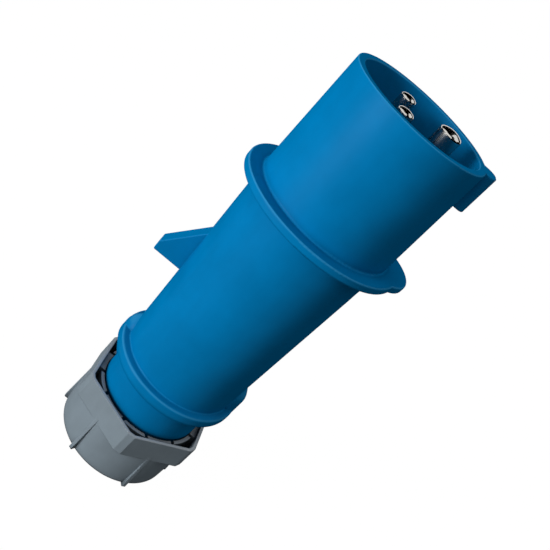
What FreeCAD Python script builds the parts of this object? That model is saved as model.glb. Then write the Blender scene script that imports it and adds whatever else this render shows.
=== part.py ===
import FreeCAD, Part
import math
import os

# Industrial pin and sleeve plug, three pins, standing on the flat rear face of its gland nut.
# Millimetres. Z runs along the plug's axis from the cable end to the pins, Z = 0 on the nut's
# rear face. The fin is at 12 o'clock, towards +Y, and the key at 6 o'clock, towards -Y.

# Gland nut
nut_height = 22.6
nut_across_flats = 40.0
nut_corner_cut = 22.4
nut_band_from = 14.2
nut_rear_radius = 19.5
nut_rear_round = 1.2
nut_turn = 2.0
nut_end_wall = 2.4
nut_entry_radius = 8.6
nut_seat_z = 7.3
nut_cone_top = 14.8
nut_cone_foot = 10.2
skirt_wall = 1.1
skirt_depth = 1.3
skirt_lap = 3.0
ring_wall = 1.3
pocket_floor = 15.2
pad_width = 8.4
pad_slot = 1.1
rib_width = 1.1
rib_height = 1.2
rib_overrun = 1.2

# Clamping thread between the nut and the housing's neck
thread_pitch = 2.5
thread_turns = 4
neck_radius = 17.0
neck_thread_radius = 16.55
neck_rear = 9.0
neck_thread_top = 21.6
neck_wall = 2.5
thread_clearance = 0.1
thread_depth = 0.45

# Clamping cage and the seal in it
cage_flange = 1.3
cage_wall = 1.2
cage_grip = 3.4
finger_count = 10
finger_slot = 1.4
finger_wall = 1.6
finger_tip_z = 2.9
key_width = 1.6
key_height = 0.9
seal_lip = 0.9
liner_wall = 3.2
cable_radius = 6.0
web_gap = 0.8
web_wall = 1.8
web_hole = 8.6

# Housing
housing_wall = 2.2
bore_land = 6.0
housing_rear_radius = 18.95
housing_rear_z = 38.4
housing_front_radius = 21.7
housing_front = 103.6
collar_radius = 21.5
collar_width = 4.0
collar_back_slope = 2.0
collar_rear_round = 2.4
collar_front_round = 0.9
collar_root_round = 0.5
neck_root_round = 1.2
top_lump_radius = 4.75
top_lump_rear = 25.0
top_lump_crest = 33.7
top_lump_shoulder = 39.4
top_lump_front = 43.0
top_lump_height = 0.25
low_lump_radius = 5.95
low_lump_rear = 23.3
low_lump_crest = 31.2
low_lump_shoulder = 43.0
low_lump_front = 47.4
low_lump_height = 0.45
lump_rear_round = 7.0
lump_front_round = 5.0
fin_height_radius = 29.7
fin_width = 5.6
fin_rear_z = 64.6
fin_land = 3.2
fin_front_z = 79.8

# Front sleeve with its flange and key
sleeve_radius = 22.0
sleeve_inner_radius = 19.65
sleeve_front = 143.6
flange_radius = 26.9
flange_wall = 2.5
flange_gap = 0.2
lug_radius = 12.0
lug_centre = 17.7
lug_edge = 0.6
key_radius = 25.3
key_base_width = 6.6
key_length = 12.0
spigot_rear = 90.0
spigot_wall = 1.8
ring_stop_wall = 3.6
ring_stop_depth = 1.5

# Contact carrier, pins and terminals
pitch_radius = 8.81
carrier_front = 107.6
carrier_rear = 76.0
carrier_shoulder = 104.0
index_width = 2.0
index_height = 0.45
earth_pin_radius = 3.5
earth_tip = 145.4
phase_pin_radius = 2.5
phase_tip = 143.2
tip_dome = 1.9
tip_round = 0.9
pin_shoulder = 0.4
block_front = 92.0
block_wall = 2.2
wire_radius = 2.5
wire_depth = 13.0
terminal_z = 84.0
terminal_cover = 0.58
retainer_wall = 3.0
retainer_screw_radius = 1.5
retainer_screw_length = 12.0
retainer_screw_head = 2.7
retainer_head_height = 1.9
retainer_recess = 1.0
retainer_recess_width = 0.6
retainer_screw_circle = 12.2

# Terminal screws and clamp plates
screw_radius = 1.95
screw_head_radius = 2.8
screw_head_height = 1.8
screw_tip_radius = 0.9
screw_slot_width = 0.8
screw_slot_depth = 1.0
plate_width = 3.4
plate_wall = 0.8
plate_length = 8.0
plate_rest = 0.8

# Gasket
gasket_radius = 0.72
gasket_z = 92.6
gasket_squeeze = 0.06

# Locking slide
latch_width = 8.2
latch_rail = 1.1
latch_rail_wall = 0.45
latch_length = 4.3
latch_travel = 3.3
latch_tongue = 1.3
latch_tongue_width = 6.0
latch_sink = 0.15
latch_grip_width = 1.0
latch_grip_depth = 0.7

# Clearances
loose = 0.3
snug = 0.2
running = 0.05

V = FreeCAD.Vector
AXIS = V(0, 0, 1)
ORIGIN = V(0, 0, 0)


def corner_arc(before, corner, after, radius):
    """Start, middle and end of the arc that rounds one corner of an outline."""
    into = (before - corner).normalize()
    out = (after - corner).normalize()
    half = into.getAngle(out) / 2
    reach = radius / math.tan(half)
    centre = corner + (into + out).normalize() * (radius / math.sin(half))
    middle = centre + (corner - centre).normalize() * radius
    return corner + into * reach, middle, corner + out * reach


def wire(points, place):
    """Closed wire through (a, b) or (a, b, corner radius), laid in space by place(a, b)."""
    spots = [place(p[0], p[1]) for p in points]
    count = len(points)
    starts, ends, edges = [], [], []
    for i, point in enumerate(points):
        if len(point) > 2:
            arc = corner_arc(spots[i - 1], spots[i], spots[(i + 1) % count], point[2])
            edges.append(Part.Arc(*arc).toShape())
            starts.append(arc[0])
            ends.append(arc[2])
        else:
            starts.append(spots[i])
            ends.append(spots[i])
    for i in range(count):
        a, b = ends[i], starts[(i + 1) % count]
        if a.distanceToPoint(b) > 1e-6:
            edges.append(Part.LineSegment(a, b).toShape())
    return Part.Wire(Part.sortEdges(edges)[0])


def turned(points):
    """Solid turned about the plug's axis from an outline of (radius, z)."""
    face = Part.Face(wire(points, lambda r, z: V(r, 0, z)))
    return face.revolve(ORIGIN, AXIS, 360)


def cylinder(radius, z0, z1, x=0.0, y=0.0):
    return Part.makeCylinder(radius, z1 - z0, V(x, y, z0), AXIS)


def tube(outer, inner, z0, z1):
    return cylinder(outer, z0, z1).cut(cylinder(inner, z0 - 1, z1 + 1))


def box(x0, x1, y0, y1, z0, z1):
    return Part.makeBox(x1 - x0, y1 - y0, z1 - z0, V(x0, y0, z0))


def rounded(shape, radius, wanted):
    """Rounds the edges that wanted(edge) picks."""
    return shape.makeFillet(radius, [e for e in shape.Edges if wanted(e)])


def spun(shape, degrees):
    copy = shape.copy()
    copy.rotate(ORIGIN, AXIS, degrees)
    return copy


def hexagon(apothem, z0, z1):
    """Hexagonal prism with a flat towards +Y."""
    corner = apothem / math.cos(math.pi / 6)
    points = [(corner * math.cos(math.radians(a)), corner * math.sin(math.radians(a)))
              for a in range(0, 360, 60)]
    face = Part.Face(wire(points, lambda x, y: V(x, y, z0)))
    return face.extrude(V(0, 0, z1 - z0))


def rise(z):
    """Outer radius of the housing's taper at height z."""
    share = (z - housing_rear_z) / (housing_front - housing_rear_z)
    return housing_rear_radius + share * (housing_front_radius - housing_rear_radius)


# Places that several pieces share
flat = nut_across_flats / 2
nut_bore = neck_radius + thread_clearance
nut_thread_bore = neck_thread_radius + thread_depth + running
neck_bore = neck_thread_radius - neck_wall
cage_top = neck_rear + thread_pitch * thread_turns + cage_grip
web_z = cage_top + web_gap
cage_radius = neck_bore - snug
seal_radius = cage_radius - cage_wall
spigot_radius = housing_front_radius - housing_wall - loose
spigot_bore = spigot_radius - spigot_wall
carrier_radius = spigot_bore - snug
flange_rear = housing_front + flange_gap
flange_front = flange_rear + flange_wall
retainer_rear = carrier_rear - retainer_wall
phase_block = wire_radius + block_wall - 0.1
earth_block = phase_block + 0.2
narrow_bore_z = spigot_rear - bore_land
screw_travel = (rise(narrow_bore_z) - housing_wall - terminal_cover - screw_head_height
                - loose - earth_block - pitch_radius)
PINS = {"earth": (270, earth_pin_radius, earth_tip, earth_block),
        "line": (30, phase_pin_radius, phase_tip, phase_block),
        "neutral": (150, phase_pin_radius, phase_tip, phase_block)}
SCREW_ANGLES = (210, 330)


def make_nut():
    """Moulded nut: tapering round rear, hexagonal skirt, threaded ring held by six pads."""
    taper = (flat - nut_rear_radius) / nut_band_from
    body = turned([(0, 0), (nut_rear_radius, 0, nut_rear_round),
                   (nut_rear_radius + taper * nut_band_from, nut_band_from),
                   (flat - 0.4, nut_band_from), (flat - 0.4, nut_height - skirt_lap),
                   (0, nut_height - skirt_lap)])
    band = hexagon(flat, nut_band_from, nut_height)
    corner = flat / math.cos(math.pi / 6)
    for a in range(0, 360, 60):
        band = band.cut(spun(box(nut_corner_cut, corner + 1, -5, 5, 0, nut_height + 1), a))
    nut = body.fuse(band)
    for a in range(30, 390, 60):
        rib = Part.Face(wire([(nut_rear_radius - 2, 0), (nut_rear_radius + rib_height, 0, 0.5),
                              (flat + 0.05, nut_band_from + rib_overrun),
                              (nut_rear_radius - 2, nut_band_from + rib_overrun)],
                             lambda r, z: V(r, -rib_width / 2, z)))
        nut = nut.fuse(spun(rib.extrude(V(0, rib_width, 0)), a))
    nut = nut.cut(cylinder(nut_bore, pocket_floor, nut_height + 1))
    nut = nut.cut(turned([(0, -1), (nut_entry_radius + 1, -1), (nut_entry_radius + 0.7, 0),
                          (nut_entry_radius, 0.7), (nut_entry_radius, nut_end_wall),
                          (nut_cone_foot, nut_end_wall), (nut_cone_top, nut_seat_z),
                          (nut_thread_bore, nut_seat_z), (nut_thread_bore, pocket_floor),
                          (0, pocket_floor)]))
    inside = hexagon(flat - skirt_wall, pocket_floor, nut_height + 1)
    inside = inside.common(cylinder(nut_corner_cut - skirt_wall, 0, nut_height + 2))
    nut = nut.cut(inside.common(cylinder(30, nut_height - skirt_depth, nut_height + 1)))
    pockets = inside.cut(cylinder(nut_bore + ring_wall, 0, nut_height + 2))
    for a in range(30, 390, 60):
        pockets = pockets.cut(spun(box(0, 30, -pad_width / 2, pad_width / 2, 0, 40), a))
    nut = nut.cut(pockets)
    for a in range(30, 390, 60):
        for side in (-1, 1):
            near = side * pad_width / 2
            far = side * (pad_width / 2 + pad_slot)
            slot = box(nut_bore - 2, nut_bore + ring_wall + 0.5, min(near, far), max(near, far),
                       pocket_floor, nut_height)
            nut = nut.cut(spun(slot, a))
    return spun(nut.removeSplitter(), nut_turn)


def make_cage():
    """Nylon cage: a flange, a sleeve keyed in the neck, and fingers in the nut's cone."""
    flange_z = nut_seat_z + snug
    mouth = nut_cone_top - loose
    tip = nut_cone_foot - loose + 0.1
    bore = seal_radius - seal_lip
    cage = turned([(tip - finger_wall + 0.2, finger_tip_z), (tip, finger_tip_z, 0.4),
                   (mouth, flange_z),
                   (neck_thread_radius, flange_z), (neck_thread_radius, flange_z + cage_flange),
                   (cage_radius, flange_z + cage_flange), (cage_radius, cage_top, 0.3),
                   (seal_radius, cage_top), (seal_radius, flange_z + 0.3),
                   (bore, flange_z + 0.3), (bore, flange_z - 0.3)])
    for i in range(finger_count):
        cut = box(0, nut_cone_top + 1, -finger_slot / 2, finger_slot / 2, 0, flange_z - 0.4)
        cage = cage.cut(spun(cut, i * 360 / finger_count + 9))
    for a in (0, 180):
        key = box(cage_radius - 0.4, cage_radius + key_height, -key_width / 2, key_width / 2,
                  flange_z + cage_flange, cage_top - 0.5)
        cage = cage.fuse(spun(key, a))
    return cage.removeSplitter()


def make_seal():
    """Rubber seal, ribbed outside, seated on the cage's lip."""
    low = nut_seat_z + snug + 0.3 + running
    high = cage_top - 0.2
    outer = seal_radius - running
    inner = cable_radius + liner_wall + 0.1
    points = [(inner, low), (outer, low)]
    ribs = 4
    step = (high - low) / ribs
    for i in range(ribs):
        base = low + i * step
        points += [(outer, base + 0.55 * step), (outer - 0.5, base + 0.7 * step)]
        points += [(outer - 0.5, base + 0.85 * step)]
    points += [(outer - 0.5, high, 0.3), (inner, high)]
    return turned(points)


def make_liner():
    """Inner rubber ring, pulled out for a thicker cable."""
    low = nut_seat_z + snug + 0.3 + running
    outer = cable_radius + liner_wall
    return turned([(cable_radius, low, 0.5), (outer, low, 0.4),
                   (outer, cage_top - 0.2), (cable_radius, cage_top - 0.2, 0.5)])


def make_housing():
    """Blue rear shell: threaded neck, rounded collar with two lumps, tapering body, fin."""
    inner_rear = rise(housing_rear_z) - housing_wall
    inner_front = housing_front_radius - housing_wall
    collar_rear_z = housing_rear_z - collar_width
    outside = turned([(0, neck_rear), (neck_thread_radius, neck_rear, 0.4),
                      (neck_thread_radius, neck_thread_top), (neck_radius, neck_thread_top + 0.3),
                      (neck_radius, collar_rear_z - collar_back_slope, neck_root_round),
                      (collar_radius, collar_rear_z, collar_rear_round),
                      (collar_radius, housing_rear_z - 0.3, collar_front_round),
                      (housing_rear_radius, housing_rear_z + 0.1, collar_root_round),
                      (housing_front_radius, housing_front, 0.3), (0, housing_front)])
    hollow = turned([(0, neck_rear - 1), (neck_bore, neck_rear - 1), (neck_bore, web_z),
                     (web_hole, web_z), (web_hole, web_z + web_wall),
                     (web_hole + 3, web_z + web_wall), (inner_rear, housing_rear_z),
                     (rise(narrow_bore_z) - housing_wall, narrow_bore_z),
                     (inner_front, spigot_rear - 2), (inner_front, housing_front + 1),
                     (0, housing_front + 1)])
    lumps = [lump(90, top_lump_radius, top_lump_height, top_lump_rear, top_lump_crest,
                  top_lump_shoulder, top_lump_front),
             lump(270, low_lump_radius, low_lump_height, low_lump_rear, low_lump_crest,
                  low_lump_shoulder, low_lump_front)]
    fin = Part.Face(wire([(rise(fin_rear_z) - 1.5, fin_rear_z), (fin_height_radius, fin_rear_z, 0.5),
                          (fin_height_radius, fin_rear_z + fin_land, 0.6),
                          (rise(fin_front_z) - 0.2, fin_front_z), (rise(fin_rear_z) - 1.5, fin_front_z)],
                         lambda y, z: V(-fin_width / 2, y, z)))
    fin = fin.extrude(V(fin_width, 0, 0))
    shell = outside.fuse(lumps + [rounded(fin, 0.35, is_fin_edge)]).cut(hollow)
    for a in (0, 180):
        slot = box(neck_bore - 1, cage_radius + key_height + loose, -key_width / 2 - snug,
                   key_width / 2 + snug, neck_rear - 1, web_z)
        shell = shell.cut(spun(slot, a))
    low = housing_front - latch_length - latch_travel - snug
    window = box(-latch_width / 2 - snug, latch_width / 2 + snug, -30, 0, low, housing_front + 1)
    half = latch_width / 2 + latch_rail + snug
    under = box(-half, half, -30, 0, low, housing_front + 1)
    lip = inner_front + latch_rail_wall + loose + 0.1
    shell = shell.cut(window.cut(cylinder(inner_front - 1, low - 1, housing_front + 2)))
    shell = shell.cut(under.common(cylinder(lip, low - 1, housing_front + 2))
                      .cut(cylinder(inner_front - 1, low - 1, housing_front + 2)))
    return shell.removeSplitter()


def lump(towards, radius, height, rear, crest, shoulder, front):
    """Rounded lump that stands height above the collar, turned about its own axis."""
    centre = collar_radius + height - radius
    face = Part.Face(wire([(0, rear), (radius, crest, lump_rear_round),
                           (radius - 0.1, shoulder, lump_front_round),
                           (rise(front) - centre, front), (0, front)],
                          lambda r, z: V(r, 0, z)))
    shape = face.revolve(ORIGIN, AXIS, 360)
    shape.translate(V(centre, 0, 0))
    return spun(shape, towards)


def is_fin_edge(edge):
    """The outer edges along the fin's two faces."""
    middle = edge.valueAt((edge.FirstParameter + edge.LastParameter) / 2)
    return abs(abs(middle.x) - fin_width / 2) < 0.01 and middle.y > rise(middle.z) + 0.1


def make_gasket():
    """O-ring in the spigot's groove."""
    centre = spigot_radius + loose - gasket_radius - gasket_squeeze
    return Part.makeTorus(centre, gasket_radius, V(0, 0, gasket_z), AXIS)


def make_sleeve():
    """Blue front moulding: spigot, flange with its lug, sleeve with its key."""
    rim = (sleeve_radius - sleeve_inner_radius) / 2
    groove = gasket_radius + gasket_squeeze
    floor = spigot_radius + loose - 2 * gasket_radius - 2 * gasket_squeeze
    stop = carrier_shoulder + ring_stop_wall
    flange = [(spigot_radius, flange_rear), (flange_radius, flange_rear, lug_edge),
              (flange_radius, flange_front, lug_edge), (sleeve_radius, flange_front, 0.6)]
    sleeve = turned([(spigot_bore, spigot_rear), (spigot_radius, spigot_rear, 0.4),
                     (spigot_radius, gasket_z - groove), (floor, gasket_z - groove),
                     (floor, gasket_z + groove), (spigot_radius, gasket_z + groove)] + flange
                    + [(sleeve_radius, sleeve_front, rim * 0.35),
                       (sleeve_inner_radius, sleeve_front, rim * 0.35),
                       (sleeve_inner_radius, stop, 0.5),
                       (carrier_radius - ring_stop_depth + snug, stop),
                       (carrier_radius - ring_stop_depth + snug, carrier_shoulder + running),
                       (spigot_bore, carrier_shoulder + running)])
    lug = cylinder(lug_radius, flange_rear, flange_front, 0, -lug_centre)
    lug = rounded(lug, lug_edge, lambda e: e.Closed)
    lug = lug.cut(cylinder(sleeve_radius - 0.6, flange_rear - 1, flange_front + 1))
    half = key_base_width / 2
    crest = half * 0.72
    key = Part.Face(wire([(-half, -sleeve_radius + 1.2), (-half, -key_radius, crest),
                          (half, -key_radius, crest), (half, -sleeve_radius + 1.2)],
                         lambda x, y: V(x, y, sleeve_front - key_length)))
    key = key.extrude(V(0, 0, key_length))
    key = rounded(key, 0.3, is_key_end)
    sleeve = sleeve.fuse([lug, key])
    notch = latch_tongue_width / 2 + loose
    sleeve = sleeve.cut(box(-notch, notch, -housing_front_radius - 0.2, -spigot_radius - 0.1,
                            flange_rear - 1, housing_front + latch_tongue + loose))
    sleeve = sleeve.cut(box(-index_width / 2 - snug, index_width / 2 + snug, 0,
                            carrier_radius + index_height + snug, spigot_rear - 1, carrier_shoulder))
    return sleeve.removeSplitter()


def is_key_end(edge):
    """The edges round the key's rear end, on its outer side."""
    box_of = edge.BoundBox
    return (abs(box_of.ZMax - box_of.ZMin) < 0.01 and box_of.YMax < -sleeve_radius + 1.3
            and abs(box_of.ZMin - (sleeve_front - key_length)) < 0.01
            and box_of.YMin < -sleeve_radius)


def post(angle):
    """Centre of the pin at an angle on the pitch circle."""
    a = math.radians(angle)
    return pitch_radius * math.cos(a), pitch_radius * math.sin(a)


def make_carrier():
    """Insulating insert: a chamber for each terminal, open behind, with a window for its screw."""
    carrier = turned([(0, carrier_rear), (carrier_radius, carrier_rear, 0.5),
                      (carrier_radius, carrier_shoulder),
                      (carrier_radius - ring_stop_depth, carrier_shoulder),
                      (carrier_radius - ring_stop_depth, carrier_front, 0.5), (0, carrier_front)])
    for angle, pin, tip, block in PINS.values():
        x, y = post(angle)
        carrier = carrier.cut(cylinder(block + running, carrier_rear - 1, block_front + running, x, y))
        carrier = carrier.cut(cylinder(pin + pin_shoulder + running, block_front, carrier_front + 1, x, y))
        window = Part.makeCylinder(screw_head_radius + loose, carrier_radius,
                                   V(pitch_radius + 1, 0, terminal_z), V(1, 0, 0))
        carrier = carrier.cut(spun(window, angle))
    for a in SCREW_ANGLES:
        hole = cylinder(retainer_screw_radius + running, carrier_rear - 1,
                        retainer_rear + retainer_screw_length + 1, retainer_screw_circle, 0)
        carrier = carrier.cut(spun(hole, a))
    rib = box(-index_width / 2, index_width / 2, carrier_radius - 1, carrier_radius + index_height,
              spigot_rear + 1, carrier_shoulder - loose)
    return carrier.fuse(rib).removeSplitter()


def make_retainer():
    """Insulating plate screwed behind the terminals, with a wire entry for each."""
    plate = turned([(0, retainer_rear), (carrier_radius, retainer_rear, 0.6),
                    (carrier_radius, carrier_rear - running), (0, carrier_rear - running)])
    for angle, pin, tip, block in PINS.values():
        x, y = post(angle)
        funnel = Part.makeCone(wire_radius + 1.3, wire_radius + 0.2, retainer_wall + 0.2,
                               V(x, y, retainer_rear - 0.1), AXIS)
        plate = plate.cut(funnel)
    for a in SCREW_ANGLES:
        hole = cylinder(retainer_screw_radius + snug, retainer_rear - 1, carrier_rear + 1,
                        retainer_screw_circle, 0)
        plate = plate.cut(spun(hole, a))
    return plate


def make_retainer_screw(angle):
    """Pan-head screw with a cross recess, holding the plate to the carrier."""
    radius, head = retainer_screw_radius, retainer_screw_head
    top = retainer_rear - running
    rear, point = top - retainer_head_height, retainer_rear + retainer_screw_length
    screw = turned([(0, rear), (head, rear, 1.2), (head, top), (radius, top),
                    (radius, point - 1.0), (radius / 3, point), (0, point)])
    half = retainer_recess_width / 2
    for turn in (0, 90):
        cross = box(-radius, radius, -half, half, rear - 1, rear + retainer_recess)
        screw = screw.cut(spun(cross, turn))
    screw.translate(V(retainer_screw_circle, 0, 0))
    return spun(screw, angle)


def make_pin(angle, pin, tip, block):
    """Nickel-plated brass pin turned in one piece with its shoulder and its pillar terminal."""
    root = pin + pin_shoulder
    body = turned([(0, carrier_rear + 1), (block, carrier_rear + 1, 0.4), (block, block_front, 0.4),
                   (root, block_front), (root, carrier_front), (pin, carrier_front),
                   (pin, tip - pin), (0, tip - pin)])
    dome = Part.makeSphere(tip_dome * pin, V(0, 0, tip - tip_dome * pin))
    end = cylinder(pin, tip - pin, tip + 1).common(dome)
    end = rounded(end, tip_round, lambda edge: edge.Length > pin and edge.BoundBox.ZLength < 0.01
                  and edge.BoundBox.ZMin > tip - pin / 2)
    body = body.fuse(end).removeSplitter()
    x, y = post(angle)
    body = body.cut(cylinder(wire_radius, carrier_rear, carrier_rear + 1 + wire_depth))
    hole = Part.makeCylinder(screw_radius + running, block + 1, V(0, 0, terminal_z), V(1, 0, 0))
    body = body.cut(hole)
    body = spun(body, angle)
    body.translate(V(x, y, 0))
    return body


def screw_reach(block):
    """Distances from the pin's centre to the plate's outer face, and to the screw's head."""
    face = plate_rest + plate_wall
    return face, block + screw_travel + loose


def make_terminal_screw(angle, block):
    """Slotted cheese-head screw, shown backed out, with a tip turned down to hold its plate."""
    face, head = screw_reach(block)
    points = [(0, face - plate_wall + 0.15), (screw_tip_radius, face - plate_wall + 0.15),
              (screw_tip_radius, face + running), (screw_radius, face + running, 0.3),
              (screw_radius, head), (screw_head_radius, head, 0.2),
              (screw_head_radius, head + screw_head_height, 0.4), (0, head + screw_head_height)]
    screw = turned(points)
    half = screw_slot_width / 2
    screw = screw.cut(box(-4, 4, -half, half, head + screw_head_height - screw_slot_depth, head + 4))
    return seated(screw, angle)


def make_plate(angle, block):
    """Clamp plate that the screw's tip carries, pressing on the wire."""
    plate = box(-plate_width / 2, plate_width / 2, -plate_length / 2, plate_length / 2,
                plate_rest, plate_rest + plate_wall)
    plate = rounded(plate, 0.3, lambda e: abs(e.BoundBox.ZLength - plate_wall) < 0.01)
    plate = plate.cut(cylinder(screw_tip_radius + running, 0, 3))
    return seated(plate, angle)


def seated(shape, angle):
    """Turns a piece made along Z to stand out from the pin at an angle, level with its terminal."""
    shape.rotate(ORIGIN, V(0, 1, 0), 90)
    shape.rotate(ORIGIN, V(1, 0, 0), 90)
    shape.translate(V(pitch_radius, 0, terminal_z))
    return spun(shape, angle)


def make_latch():
    """Slide that locks the front sleeve: a pad in the window, two rails behind its lips, a tongue."""
    inner_front = housing_front_radius - housing_wall
    low, high = housing_front - latch_length, housing_front - 0.1
    outer = rise(low) - latch_sink
    lip = inner_front + latch_rail_wall + loose + 0.1
    rail_in = inner_front + 0.05
    half = latch_width / 2
    pad = tube(outer, lip - 0.3, low, high).common(box(-half, half, -30, 0, low, high))
    wide = half + latch_rail
    rails = tube(lip - 0.3, rail_in, low, high).common(box(-wide, wide, -30, 0, low, high))
    tongue = tube(outer - 0.2, rail_in + 0.3, high - 1, housing_front + latch_tongue)
    reach = latch_tongue_width / 2
    tongue = tongue.common(box(-reach, reach, -30, 0, high - 1, housing_front + latch_tongue))
    latch = pad.fuse([rails, tongue])
    grip = box(-half + 1.4, half - 1.4, -30, -outer + latch_grip_depth, low + 1.2,
               low + 1.2 + latch_grip_width)
    return latch.cut(grip).removeSplitter()


def save(shape, name):
    shape.exportStep("parts/" + name + ".step")
    print("%-24s %d solid, valid %s, %.1f mm3" % (name, len(shape.Solids), shape.isValid(), shape.Volume))


os.makedirs("parts", exist_ok=True)
save(make_nut(), "gland_nut")
save(make_cage(), "clamping_cage")
save(make_seal(), "cable_seal")
save(make_liner(), "seal_liner")
save(make_housing(), "housing")
save(make_gasket(), "housing_gasket")
save(make_sleeve(), "front_sleeve")
save(make_carrier(), "contact_carrier")
save(make_retainer(), "pin_retainer")
for number, angle in enumerate(SCREW_ANGLES, 1):
    save(make_retainer_screw(angle), "retainer_screw_%d" % number)
for name, (angle, pin, tip, block) in PINS.items():
    save(make_pin(angle, pin, tip, block), name + "_pin")
    save(make_terminal_screw(angle, block), name + "_terminal_screw")
    save(make_plate(angle, block), name + "_clamp_plate")
save(make_latch(), "locking_slide")
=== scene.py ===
import math

import bmesh
import bpy
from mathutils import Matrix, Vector


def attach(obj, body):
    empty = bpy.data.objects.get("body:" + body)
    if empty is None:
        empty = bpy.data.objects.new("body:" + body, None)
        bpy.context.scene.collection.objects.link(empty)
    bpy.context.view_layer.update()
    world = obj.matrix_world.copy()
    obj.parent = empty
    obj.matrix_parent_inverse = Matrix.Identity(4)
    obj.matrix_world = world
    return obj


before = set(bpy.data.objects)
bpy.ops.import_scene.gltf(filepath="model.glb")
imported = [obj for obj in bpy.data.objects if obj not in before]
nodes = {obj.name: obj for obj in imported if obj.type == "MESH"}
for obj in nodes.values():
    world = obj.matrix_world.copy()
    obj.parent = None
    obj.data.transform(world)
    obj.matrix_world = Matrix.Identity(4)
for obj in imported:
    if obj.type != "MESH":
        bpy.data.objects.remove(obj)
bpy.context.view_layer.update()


# The photograph's view: a short telephoto close to the plug, a little above its front rim and on
# its left, with the camera turned so that the upright plug runs from corner to corner.
CAMERA_AT = (-0.20735, 0.03177, 0.18390)
CAMERA_TURN = (55.855, -38.833, -76.092)
CAMERA_LENS = 53.55
CAMERA_NEAR = 0.01

camera = bpy.data.objects.new("camera", bpy.data.cameras.new("camera"))
camera.data.lens = CAMERA_LENS
camera.data.clip_start = CAMERA_NEAR
camera.location = CAMERA_AT
camera.rotation_euler = [math.radians(turn) for turn in CAMERA_TURN]
bpy.context.scene.collection.objects.link(camera)
bpy.context.scene.camera = camera
bpy.context.scene.view_settings.view_transform = "Standard"


# Studio light: one soft lamp on the fin's side, level with the plug's front, and a weaker light
# from all round and above, so that the far side of the round body falls into shade. The
# surroundings show as white.
KEY_AT = Vector((-0.48, 0.61, 0.155))
KEY_AIM = Vector((0.0, 0.0, 0.14))
KEY_SIZE = 0.3
KEY_SPREAD = 50.0
KEY_WATTS = 0.53
FILL_SIDE = 0.11
FILL_TOP = 0.62
WHITE = (1.0, 1.0, 1.0, 1.0)


def add(tree, kind, settings=None, links=None):
    """Adds a node, sets its sockets or properties by name, and links others into it."""
    node = tree.nodes.new(kind)
    for name, value in (settings or {}).items():
        if isinstance(name, int) or name in node.inputs:
            node.inputs[name].default_value = value
        else:
            setattr(node, name, value)
    for name, source in (links or {}).items():
        tree.links.new(source, node.inputs[name])
    return node


def seen(tree):
    """1 for rays from the camera and for reflected or refracted ones, else 0."""
    path = add(tree, "ShaderNodeLightPath")
    mirrored = add(tree, "ShaderNodeMath", {"operation": "MAXIMUM"},
                   {0: path.outputs["Is Glossy Ray"], 1: path.outputs["Is Transmission Ray"]})
    return add(tree, "ShaderNodeMath", {"operation": "MAXIMUM"},
               {0: path.outputs["Is Camera Ray"], 1: mirrored.outputs[0]}).outputs[0]


lamp = bpy.data.objects.new("key_lamp", bpy.data.lights.new("key_lamp", "AREA"))
lamp.data.size = KEY_SIZE
lamp.data.energy = KEY_WATTS
lamp.data.spread = math.radians(KEY_SPREAD)
lamp.location = KEY_AT
lamp.rotation_euler = (KEY_AT - KEY_AIM).to_track_quat("Z", "Y").to_euler()
bpy.context.scene.collection.objects.link(lamp)

world = bpy.data.worlds.new("studio")
world.use_nodes = True
tree = world.node_tree
tree.nodes.clear()
aim = add(tree, "ShaderNodeTexCoord").outputs["Generated"]
height = add(tree, "ShaderNodeSeparateXYZ", links={"Vector": aim}).outputs["Z"]
fill = add(tree, "ShaderNodeMapRange", {"To Min": FILL_SIDE, "To Max": FILL_TOP}, {"Value": height})
strength = add(tree, "ShaderNodeMapRange", {"To Max": 1.0},
               {"Value": seen(tree), "To Min": fill.outputs[0]})
sky = add(tree, "ShaderNodeBackground", {"Color": WHITE}, {"Strength": strength.outputs[0]})
add(tree, "ShaderNodeOutputWorld", links={"Surface": sky.outputs[0]})
world.cycles.sampling_method = "NONE"
bpy.context.scene.world = world


# Black cards beside and above the plug, each as (from, to, outline of radii and heights) about its
# axis. Only reflections see them: they keep the white room out of the satin blue, and the gaps
# between them draw the bright streaks in the polished pins.
CARD_COLOUR = "101010"
CARD_STEPS = 24
LOW, WALL, ROOF = 0.0005, 0.5, 0.645
CARDS = ((-112.0, 62.0, ((0.03, LOW), (WALL, LOW), (WALL, 0.18))),
         (-112.0, -48.0, ((WALL, 0.18), (WALL, 0.30))),
         (-112.0, 62.0, ((WALL, 0.30), (WALL, 0.47))),
         (-20.0, 62.0, ((WALL, 0.47), (WALL, ROOF), (0.25, ROOF))),
         (-112.0, 62.0, ((0.001, ROOF), (0.25, ROOF))),
         (62.0, 248.0, ((0.001, ROOF), (0.2, ROOF))),
         (62.0, 248.0, ((WALL, LOW), (WALL, 0.34))),
         (200.0, 248.0, ((WALL, 0.34), (WALL, ROOF), (0.2, ROOF))))


def linear(colour):
    """A linear colour from sRGB hex."""
    shares = [int(colour[i:i + 2], 16) / 255 for i in (0, 2, 4)]
    return (*(s / 12.92 if s <= 0.04045 else ((s + 0.055) / 1.055) ** 2.4 for s in shares), 1.0)


def bare(name):
    """A material without nodes, and its tree."""
    material = bpy.data.materials.new(name)
    material.use_nodes = True
    material.node_tree.nodes.clear()
    return material, material.node_tree


def made(name, shape, material):
    """An object in the scene from a finished bmesh, which is freed."""
    piece = bpy.data.objects.new(name, bpy.data.meshes.new(name))
    shape.to_mesh(piece.data)
    shape.free()
    piece.data.materials.append(material)
    bpy.context.scene.collection.objects.link(piece)
    return piece


black, tree = bare("black_card")
cloth = add(tree, "ShaderNodeBsdfDiffuse", {"Color": linear(CARD_COLOUR)})
add(tree, "ShaderNodeOutputMaterial", links={"Surface": cloth.outputs[0]})

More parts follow.
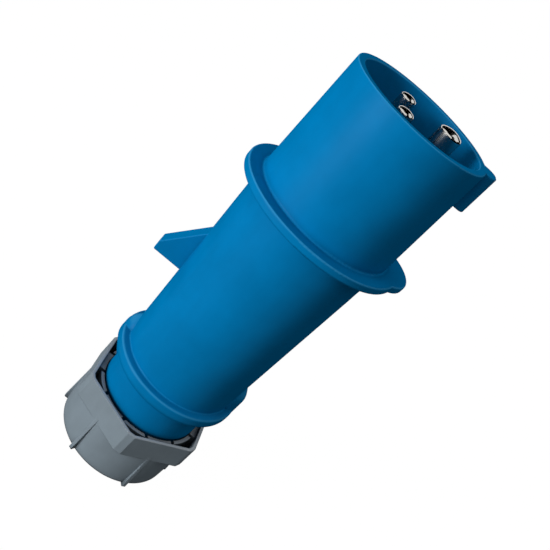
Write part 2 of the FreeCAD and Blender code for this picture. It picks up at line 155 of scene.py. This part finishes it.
shape = bmesh.new()
for first, last, outline in CARDS:
    start = math.radians(first)
    line = [shape.verts.new((radius * math.cos(start), radius * math.sin(start), height))
            for radius, height in outline]
    edges = [shape.edges.new(pair) for pair in zip(line, line[1:])]
    bmesh.ops.spin(shape, geom=line + edges, cent=(0, 0, 0), axis=(0, 0, 1), steps=CARD_STEPS,
                   angle=math.radians(last - first))
card = made("black_cards", shape, black)
card.visible_camera = card.visible_diffuse = card.visible_shadow = False


# White paper floor that the plug stands on. It shows as white as the room, keeps a faint soft
# shadow, and throws little light back on the plug.
FLOOR_RADIUS = 40.0
FLOOR_SIDES = 64
FLOOR_GLOW = 0.97
FLOOR_LEVEL = 1.02
FLOOR_SEEN, FLOOR_THROWN = "F4F4F2", "484846"

paper, tree = bare("white_paper")
shown = add(tree, "ShaderNodeMix", {"data_type": "RGBA", 6: linear(FLOOR_THROWN),
                                    7: linear(FLOOR_SEEN)}, {0: seen(tree)})
lit = add(tree, "ShaderNodeBsdfDiffuse", links={"Color": shown.outputs[2]})
glow = add(tree, "ShaderNodeEmission", {"Color": WHITE, "Strength": FLOOR_LEVEL})
share = add(tree, "ShaderNodeMath", {"operation": "MULTIPLY", 1: FLOOR_GLOW}, {0: seen(tree)})
mix = add(tree, "ShaderNodeMixShader", links={0: share.outputs[0], 1: lit.outputs[0],
                                              2: glow.outputs[0]})
add(tree, "ShaderNodeOutputMaterial", links={"Surface": mix.outputs[0]})

shape = bmesh.new()
bmesh.ops.create_circle(shape, cap_ends=True, segments=FLOOR_SIDES, radius=FLOOR_RADIUS)
floor = made("floor", shape, paper)


# Gland nut: glass-filled polyamide, moulded in one piece in light grey. The mould's fine spark
# texture leaves it matt and its edges are rounded. A painted highlight lightens its edges that lean
# towards the front and its flat front faces, and painted shade darkens its recesses.
MM = 0.001
DRIFT_SIZE, DRIFT_ROUGH = 11 * MM, 0.55
FLOW_SIZE, FLOW_STRETCH, FLOW_SHARE = 2.2 * MM, 0.12, 0.25
DEEP_AT, PALE_AT = 0.42, 0.84
SPARK_ROUGH, SPARK_DEPTH = 0.6, 0.06 * MM
SMOOTH_AT, COARSE_AT = 0.3, 0.7
SMOOTHER, COARSER = 0.05, 0.06
RAY_COUNT = 8
# Painted shade: how far ambient occlusion looks for recesses, and how dark they get.
RECESS = 5 * MM
SHUT_AT, OPEN_AT, SHUT_SHARE = 0.25, 0.7, 0.25
# Painted highlight: its share on edges, and the occlusion and lean over which it fades in.
HIGHLIGHT_SHARE = 0.5
PROUD_FROM, PROUD_TO = 0.8, 1.0
SIDE_LEAN, EDGE_LEAN, TURN_LEAN, FRONT_LEAN = 0.3, 0.6, 0.85, 0.98
FIN_MIDDLE, FIN_HALF = 72 * MM, 12 * MM
SHEEN_FROM, SHEEN_TO = 0.25, 0.6
POLYAMIDE_IOR = 1.53


def moulded(name, pale, deep, highlight_paint, grain, edge, rough, gloss, depth, front_highlight=0.0):
    """A moulded plastic: slow colour drift with flow lines, mould grain, a painted highlight on
    edges that lean towards the front (but not on the fin) and, if asked, on flat front faces,
    painted shade in recesses, and a sheen that fades at the sides."""
    material, tree = bare(name)
    place = add(tree, "ShaderNodeTexCoord").outputs["Object"]
    drift = add(tree, "ShaderNodeTexNoise", {"Scale": 1 / DRIFT_SIZE, "Detail": 3.0,
                                             "Roughness": DRIFT_ROUGH}, {"Vector": place})
    along = add(tree, "ShaderNodeMapping", {"Scale": (1.0, 1.0, FLOW_STRETCH)}, {"Vector": place})
    flow = add(tree, "ShaderNodeTexNoise", {"Scale": 1 / FLOW_SIZE, "Detail": 2.0},
               {"Vector": along.outputs[0]})
    both = add(tree, "ShaderNodeMath", {"operation": "MULTIPLY_ADD", 1: FLOW_SHARE},
               {0: flow.outputs["Fac"], 2: drift.outputs["Fac"]})
    shade = add(tree, "ShaderNodeMapRange", {"From Min": DEEP_AT, "From Max": PALE_AT},
                {"Value": both.outputs[0]})
    colour = add(tree, "ShaderNodeMix", {"data_type": "RGBA", 6: linear(deep), 7: linear(pale)},
                 {0: shade.outputs[0]})
    spark = add(tree, "ShaderNodeTexNoise", {"Scale": 1 / grain, "Detail": 2.0,
                                             "Roughness": SPARK_ROUGH}, {"Vector": place})
    dull = add(tree, "ShaderNodeMapRange", {"From Min": SMOOTH_AT, "From Max": COARSE_AT,
                                            "To Min": rough - SMOOTHER, "To Max": rough + COARSER},
               {"Value": spark.outputs["Fac"]})
    soft = add(tree, "ShaderNodeBevel", {"samples": RAY_COUNT, "Radius": edge})
    open_to = add(tree, "ShaderNodeAmbientOcclusion", {"samples": RAY_COUNT, "Distance": RECESS},
                  {"Normal": soft.outputs[0]}).outputs["AO"]
    height = add(tree, "ShaderNodeSeparateXYZ", links={0: place}).outputs["Z"]
    fin = add(tree, "ShaderNodeMath", {"operation": "COMPARE", 1: FIN_MIDDLE, 2: FIN_HALF},
              {0: height})
    own = add(tree, "ShaderNodeVectorTransform", {"vector_type": "NORMAL", "convert_from": "WORLD",
                                                  "convert_to": "OBJECT"}, {0: soft.outputs[0]})
    lean = add(tree, "ShaderNodeSeparateXYZ", links={0: own.outputs[0]}).outputs["Z"]
    # Painted highlight: edges that lean towards the front, away from recesses and off the fin, and
    # flat front faces by the given share, are mixed towards a paler colour.
    proud = add(tree, "ShaderNodeMapRange", {"From Min": PROUD_FROM, "From Max": PROUD_TO,
                                             "To Max": HIGHLIGHT_SHARE}, {"Value": open_to})
    up = add(tree, "ShaderNodeMapRange", {"From Min": SIDE_LEAN, "From Max": EDGE_LEAN},
             {"Value": lean, "To Max": proud.outputs[0]})
    turn = add(tree, "ShaderNodeMapRange", {"From Min": FRONT_LEAN, "From Max": TURN_LEAN,
                                            "To Min": front_highlight},
               {"Value": lean, "To Max": up.outputs[0]})
    highlight_mask = add(tree, "ShaderNodeMath", {"operation": "SUBTRACT", "use_clamp": True},
              {0: turn.outputs[0], 1: fin.outputs[0]})
    highlighted = add(tree, "ShaderNodeMix", {"data_type": "RGBA", 7: linear(highlight_paint)},
                {0: highlight_mask.outputs[0], 6: colour.outputs[2]})
    # Painted shade: recesses, found by ambient occlusion, are mixed towards black.
    recess_shade = add(tree, "ShaderNodeMapRange", {"From Min": SHUT_AT, "From Max": OPEN_AT,
                                            "To Min": SHUT_SHARE}, {"Value": open_to})
    shaded_recesses = add(tree, "ShaderNodeMix", {"data_type": "RGBA", 6: linear("000000")},
                   {0: recess_shade.outputs[0], 7: highlighted.outputs[2]})
    relief = add(tree, "ShaderNodeBump", {"Strength": depth, "Distance": SPARK_DEPTH},
                 {"Height": spark.outputs["Fac"], "Normal": soft.outputs[0]})
    facing = add(tree, "ShaderNodeLayerWeight", {"Blend": 0.5}).outputs["Facing"]
    sheen = add(tree, "ShaderNodeMapRange", {"From Min": SHEEN_FROM, "From Max": SHEEN_TO,
                                             "To Min": gloss, "To Max": 0.0}, {"Value": facing})
    surface = add(tree, "ShaderNodeBsdfPrincipled", {"IOR": POLYAMIDE_IOR},
                  {"Base Color": shaded_recesses.outputs[2], "Roughness": dull.outputs[0],
                   "Specular IOR Level": sheen.outputs[0], "Normal": relief.outputs[0]})
    add(tree, "ShaderNodeOutputMaterial", links={"Surface": surface.outputs[0]})
    return material


def finish(node, material):
    """Gives a carried-over node its material in every slot."""
    mesh = nodes[node].data
    mesh.materials.clear()
    mesh.materials.append(material)


# The nut's front-leaning edges, and its flat front faces at three quarters, get a painted highlight
# in a paler grey.
grey_polyamide = moulded("grey_moulded_polyamide", pale="8896A0", deep="808D96", highlight_paint="C8D0D6",
                         grain=0.35 * MM, edge=0.45 * MM, rough=0.6, gloss=0.12, depth=0.35,
                         front_highlight=0.75)
finish("gland_nut", grey_polyamide)


# The nut's inner thread: one ridge of trapezoid section, moulded with the nut. It turns on the
# neck's ridge, made below with the housing, with a running gap between their flanks.
THREAD_PITCH = 2.5 * MM
THREAD_STEPS = 64
RIDGE_FOOT, RIDGE_CREST = 0.85, 0.3
WELD = 0.001 * MM


def ridge(name, foot, crest, start, turns, body, material):
    """A thread ridge about the plug's axis, from its radii, starting height and turns."""
    shape = bmesh.new()
    section = ((foot, -RIDGE_FOOT), (crest, -RIDGE_CREST), (crest, RIDGE_CREST), (foot, RIDGE_FOOT))
    face = shape.faces.new([shape.verts.new((radius * MM, 0, (start + rise) * MM))
                            for radius, rise in section])
    steps = round(turns * THREAD_STEPS)
    bmesh.ops.spin(shape, geom=[face], cent=(0, 0, 0), axis=(0, 0, 1), steps=steps,
                   angle=math.tau * turns, dvec=(0, 0, THREAD_PITCH * turns / steps))
    bmesh.ops.remove_doubles(shape, verts=shape.verts, dist=WELD)
    bmesh.ops.recalc_face_normals(shape, faces=shape.faces)
    piece = made(name, shape, material)
    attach(piece, body)


ridge("nut_thread", foot=17.12, crest=16.65, start=9.55, turns=2.0, body="nut",
      material=grey_polyamide)


# Clamping cage: black polyamide, whose fingers the nut's cone presses round the cable. Its grain
# is a little coarser than the nut's, and its gloss higher.
# Its front-leaning edges get a painted highlight in a slightly lighter black.
black_polyamide = moulded("black_moulded_polyamide", pale="26272A", deep="1D1E20", highlight_paint="3A3B3E",
                          grain=0.4 * MM, edge=0.2 * MM, rough=0.5, gloss=0.5, depth=0.3)
finish("clamping_cage", black_polyamide)


# Seal, its liner and the housing's O-ring: black rubber, moulded, with the faint bloom that rubber
# gets and a fine skin.
BLOOM_SIZE, SKIN_SIZE, SKIN_DEPTH = 3.0 * MM, 0.25 * MM, 0.05 * MM

rubber, tree = bare("moulded_rubber")
place = add(tree, "ShaderNodeTexCoord").outputs["Object"]
bloom = add(tree, "ShaderNodeTexNoise", {"Scale": 1 / BLOOM_SIZE, "Detail": 4.0}, {"Vector": place})
colour = add(tree, "ShaderNodeMix", {"data_type": "RGBA", 6: linear("17171A"), 7: linear("2A2A2C")},
             {0: bloom.outputs["Fac"]})
skin = add(tree, "ShaderNodeTexNoise", {"Scale": 1 / SKIN_SIZE, "Detail": 2.0}, {"Vector": place})
relief = add(tree, "ShaderNodeBump", {"Strength": 0.3, "Distance": SKIN_DEPTH},
             {"Height": skin.outputs["Fac"]})
surface = add(tree, "ShaderNodeBsdfPrincipled", {"Roughness": 0.78, "IOR": 1.52,
                                                 "Sheen Weight": 0.05},
              {"Base Color": colour.outputs[2], "Normal": relief.outputs[0]})
add(tree, "ShaderNodeOutputMaterial", links={"Surface": surface.outputs[0]})
for node in ("cable_seal", "seal_liner", "housing_gasket"):
    finish(node, rubber)


# Housing, front moulding and locking slide: glass-filled polyamide in the blue that marks 230 V,
# moulded, with a fine satin surface that stays deep in colour in the shade. The neck's thread is
# one ridge of four turns.
# Its front-leaning edges get a painted highlight in a paler blue.
blue_polyamide = moulded("blue_moulded_polyamide", pale="007AB7", deep="0073AD", highlight_paint="3C9CD0",
                         grain=0.3 * MM, edge=0.4 * MM, rough=0.40, gloss=0.035, depth=0.2)
for node in ("housing", "front_sleeve", "locking_slide"):
    finish(node, blue_polyamide)
ridge("neck_thread", foot=16.5, crest=16.95, start=10.6, turns=4.0, body="shell",
      material=blue_polyamide)


# Contact carrier and the plate behind it: grey polyamide, moulded. They lie deep in the sleeve and
# in the housing, so their colour is a guess.
# Their front-leaning edges get a painted highlight in a slightly lighter grey.
carrier_polyamide = moulded("carrier_moulded_polyamide", pale="7C8085", deep="74787D",
                            highlight_paint="8E9297", grain=0.35 * MM, edge=0.2 * MM, rough=0.5, gloss=0.4,
                            depth=0.3)
for node in ("contact_carrier", "pin_retainer"):
    finish(node, carrier_polyamide)


# Pins: turned brass, nickel plated. Their domed ends are polished and mirror the room and the dark
# cards, and the shafts keep fine turning rings, which blur what they mirror.
RING_SIZE, RING_DEPTH = 0.3 * MM, 0.01 * MM
WAVES_PER_SCALE = 20
HAZE_SIZE = 1.5 * MM
SHAFT_ROUGH = 0.08
END_LEAN = 0.3

nickel, tree = bare("polished_nickel")
origin = add(tree, "ShaderNodeTexCoord")
place = origin.outputs["Object"]
rings = add(tree, "ShaderNodeTexWave", {"wave_type": "BANDS", "bands_direction": "Z",
                                        "Scale": 1 / RING_SIZE / WAVES_PER_SCALE,
                                        "Distortion": 0.4}, {"Vector": place})
relief = add(tree, "ShaderNodeBump", {"Strength": 0.12, "Distance": RING_DEPTH},
             {"Height": rings.outputs["Fac"]})
haze = add(tree, "ShaderNodeTexNoise", {"Scale": 1 / HAZE_SIZE, "Detail": 3.0}, {"Vector": place})
dull = add(tree, "ShaderNodeMapRange", {"To Min": 0.08, "To Max": 0.16},
           {"Value": haze.outputs["Fac"]})
lean = add(tree, "ShaderNodeSeparateXYZ", links={0: origin.outputs["Normal"]}).outputs["Z"]
turned = add(tree, "ShaderNodeMapRange", {"From Max": END_LEAN, "To Min": SHAFT_ROUGH,
                                          "To Max": 0.0}, {"Value": lean})
total = add(tree, "ShaderNodeMath", {"operation": "ADD"},
            {0: dull.outputs[0], 1: turned.outputs[0]})
surface = add(tree, "ShaderNodeBsdfPrincipled", {"Base Color": linear("CFCDC8"), "Metallic": 1.0},
              {"Roughness": total.outputs[0], "Normal": relief.outputs[0]})
add(tree, "ShaderNodeOutputMaterial", links={"Surface": surface.outputs[0]})
for node in ("earth_pin", "line_pin", "neutral_pin"):
    finish(node, nickel)


# Screws and clamp plates: steel, zinc plated and passivated, slightly blue and cloudy, duller in
# some places than in others.
CLOUD_SIZE = 0.8 * MM

zinc, tree = bare("zinc_plated_steel")
place = add(tree, "ShaderNodeTexCoord").outputs["Object"]
cloud = add(tree, "ShaderNodeTexNoise", {"Scale": 1 / CLOUD_SIZE, "Detail": 4.0}, {"Vector": place})
colour = add(tree, "ShaderNodeMix", {"data_type": "RGBA", 6: linear("B4B9C2"), 7: linear("C9CBCC")},
             {0: cloud.outputs["Fac"]})
dull = add(tree, "ShaderNodeMapRange", {"To Min": 0.25, "To Max": 0.42},
           {"Value": cloud.outputs["Fac"]})
surface = add(tree, "ShaderNodeBsdfPrincipled", {"Metallic": 1.0},
              {"Base Color": colour.outputs[2], "Roughness": dull.outputs[0]})
add(tree, "ShaderNodeOutputMaterial", links={"Surface": surface.outputs[0]})
for node in nodes:
    if node.endswith(("terminal_screw", "clamp_plate")) or node.startswith("retainer_screw"):
        finish(node, zinc)
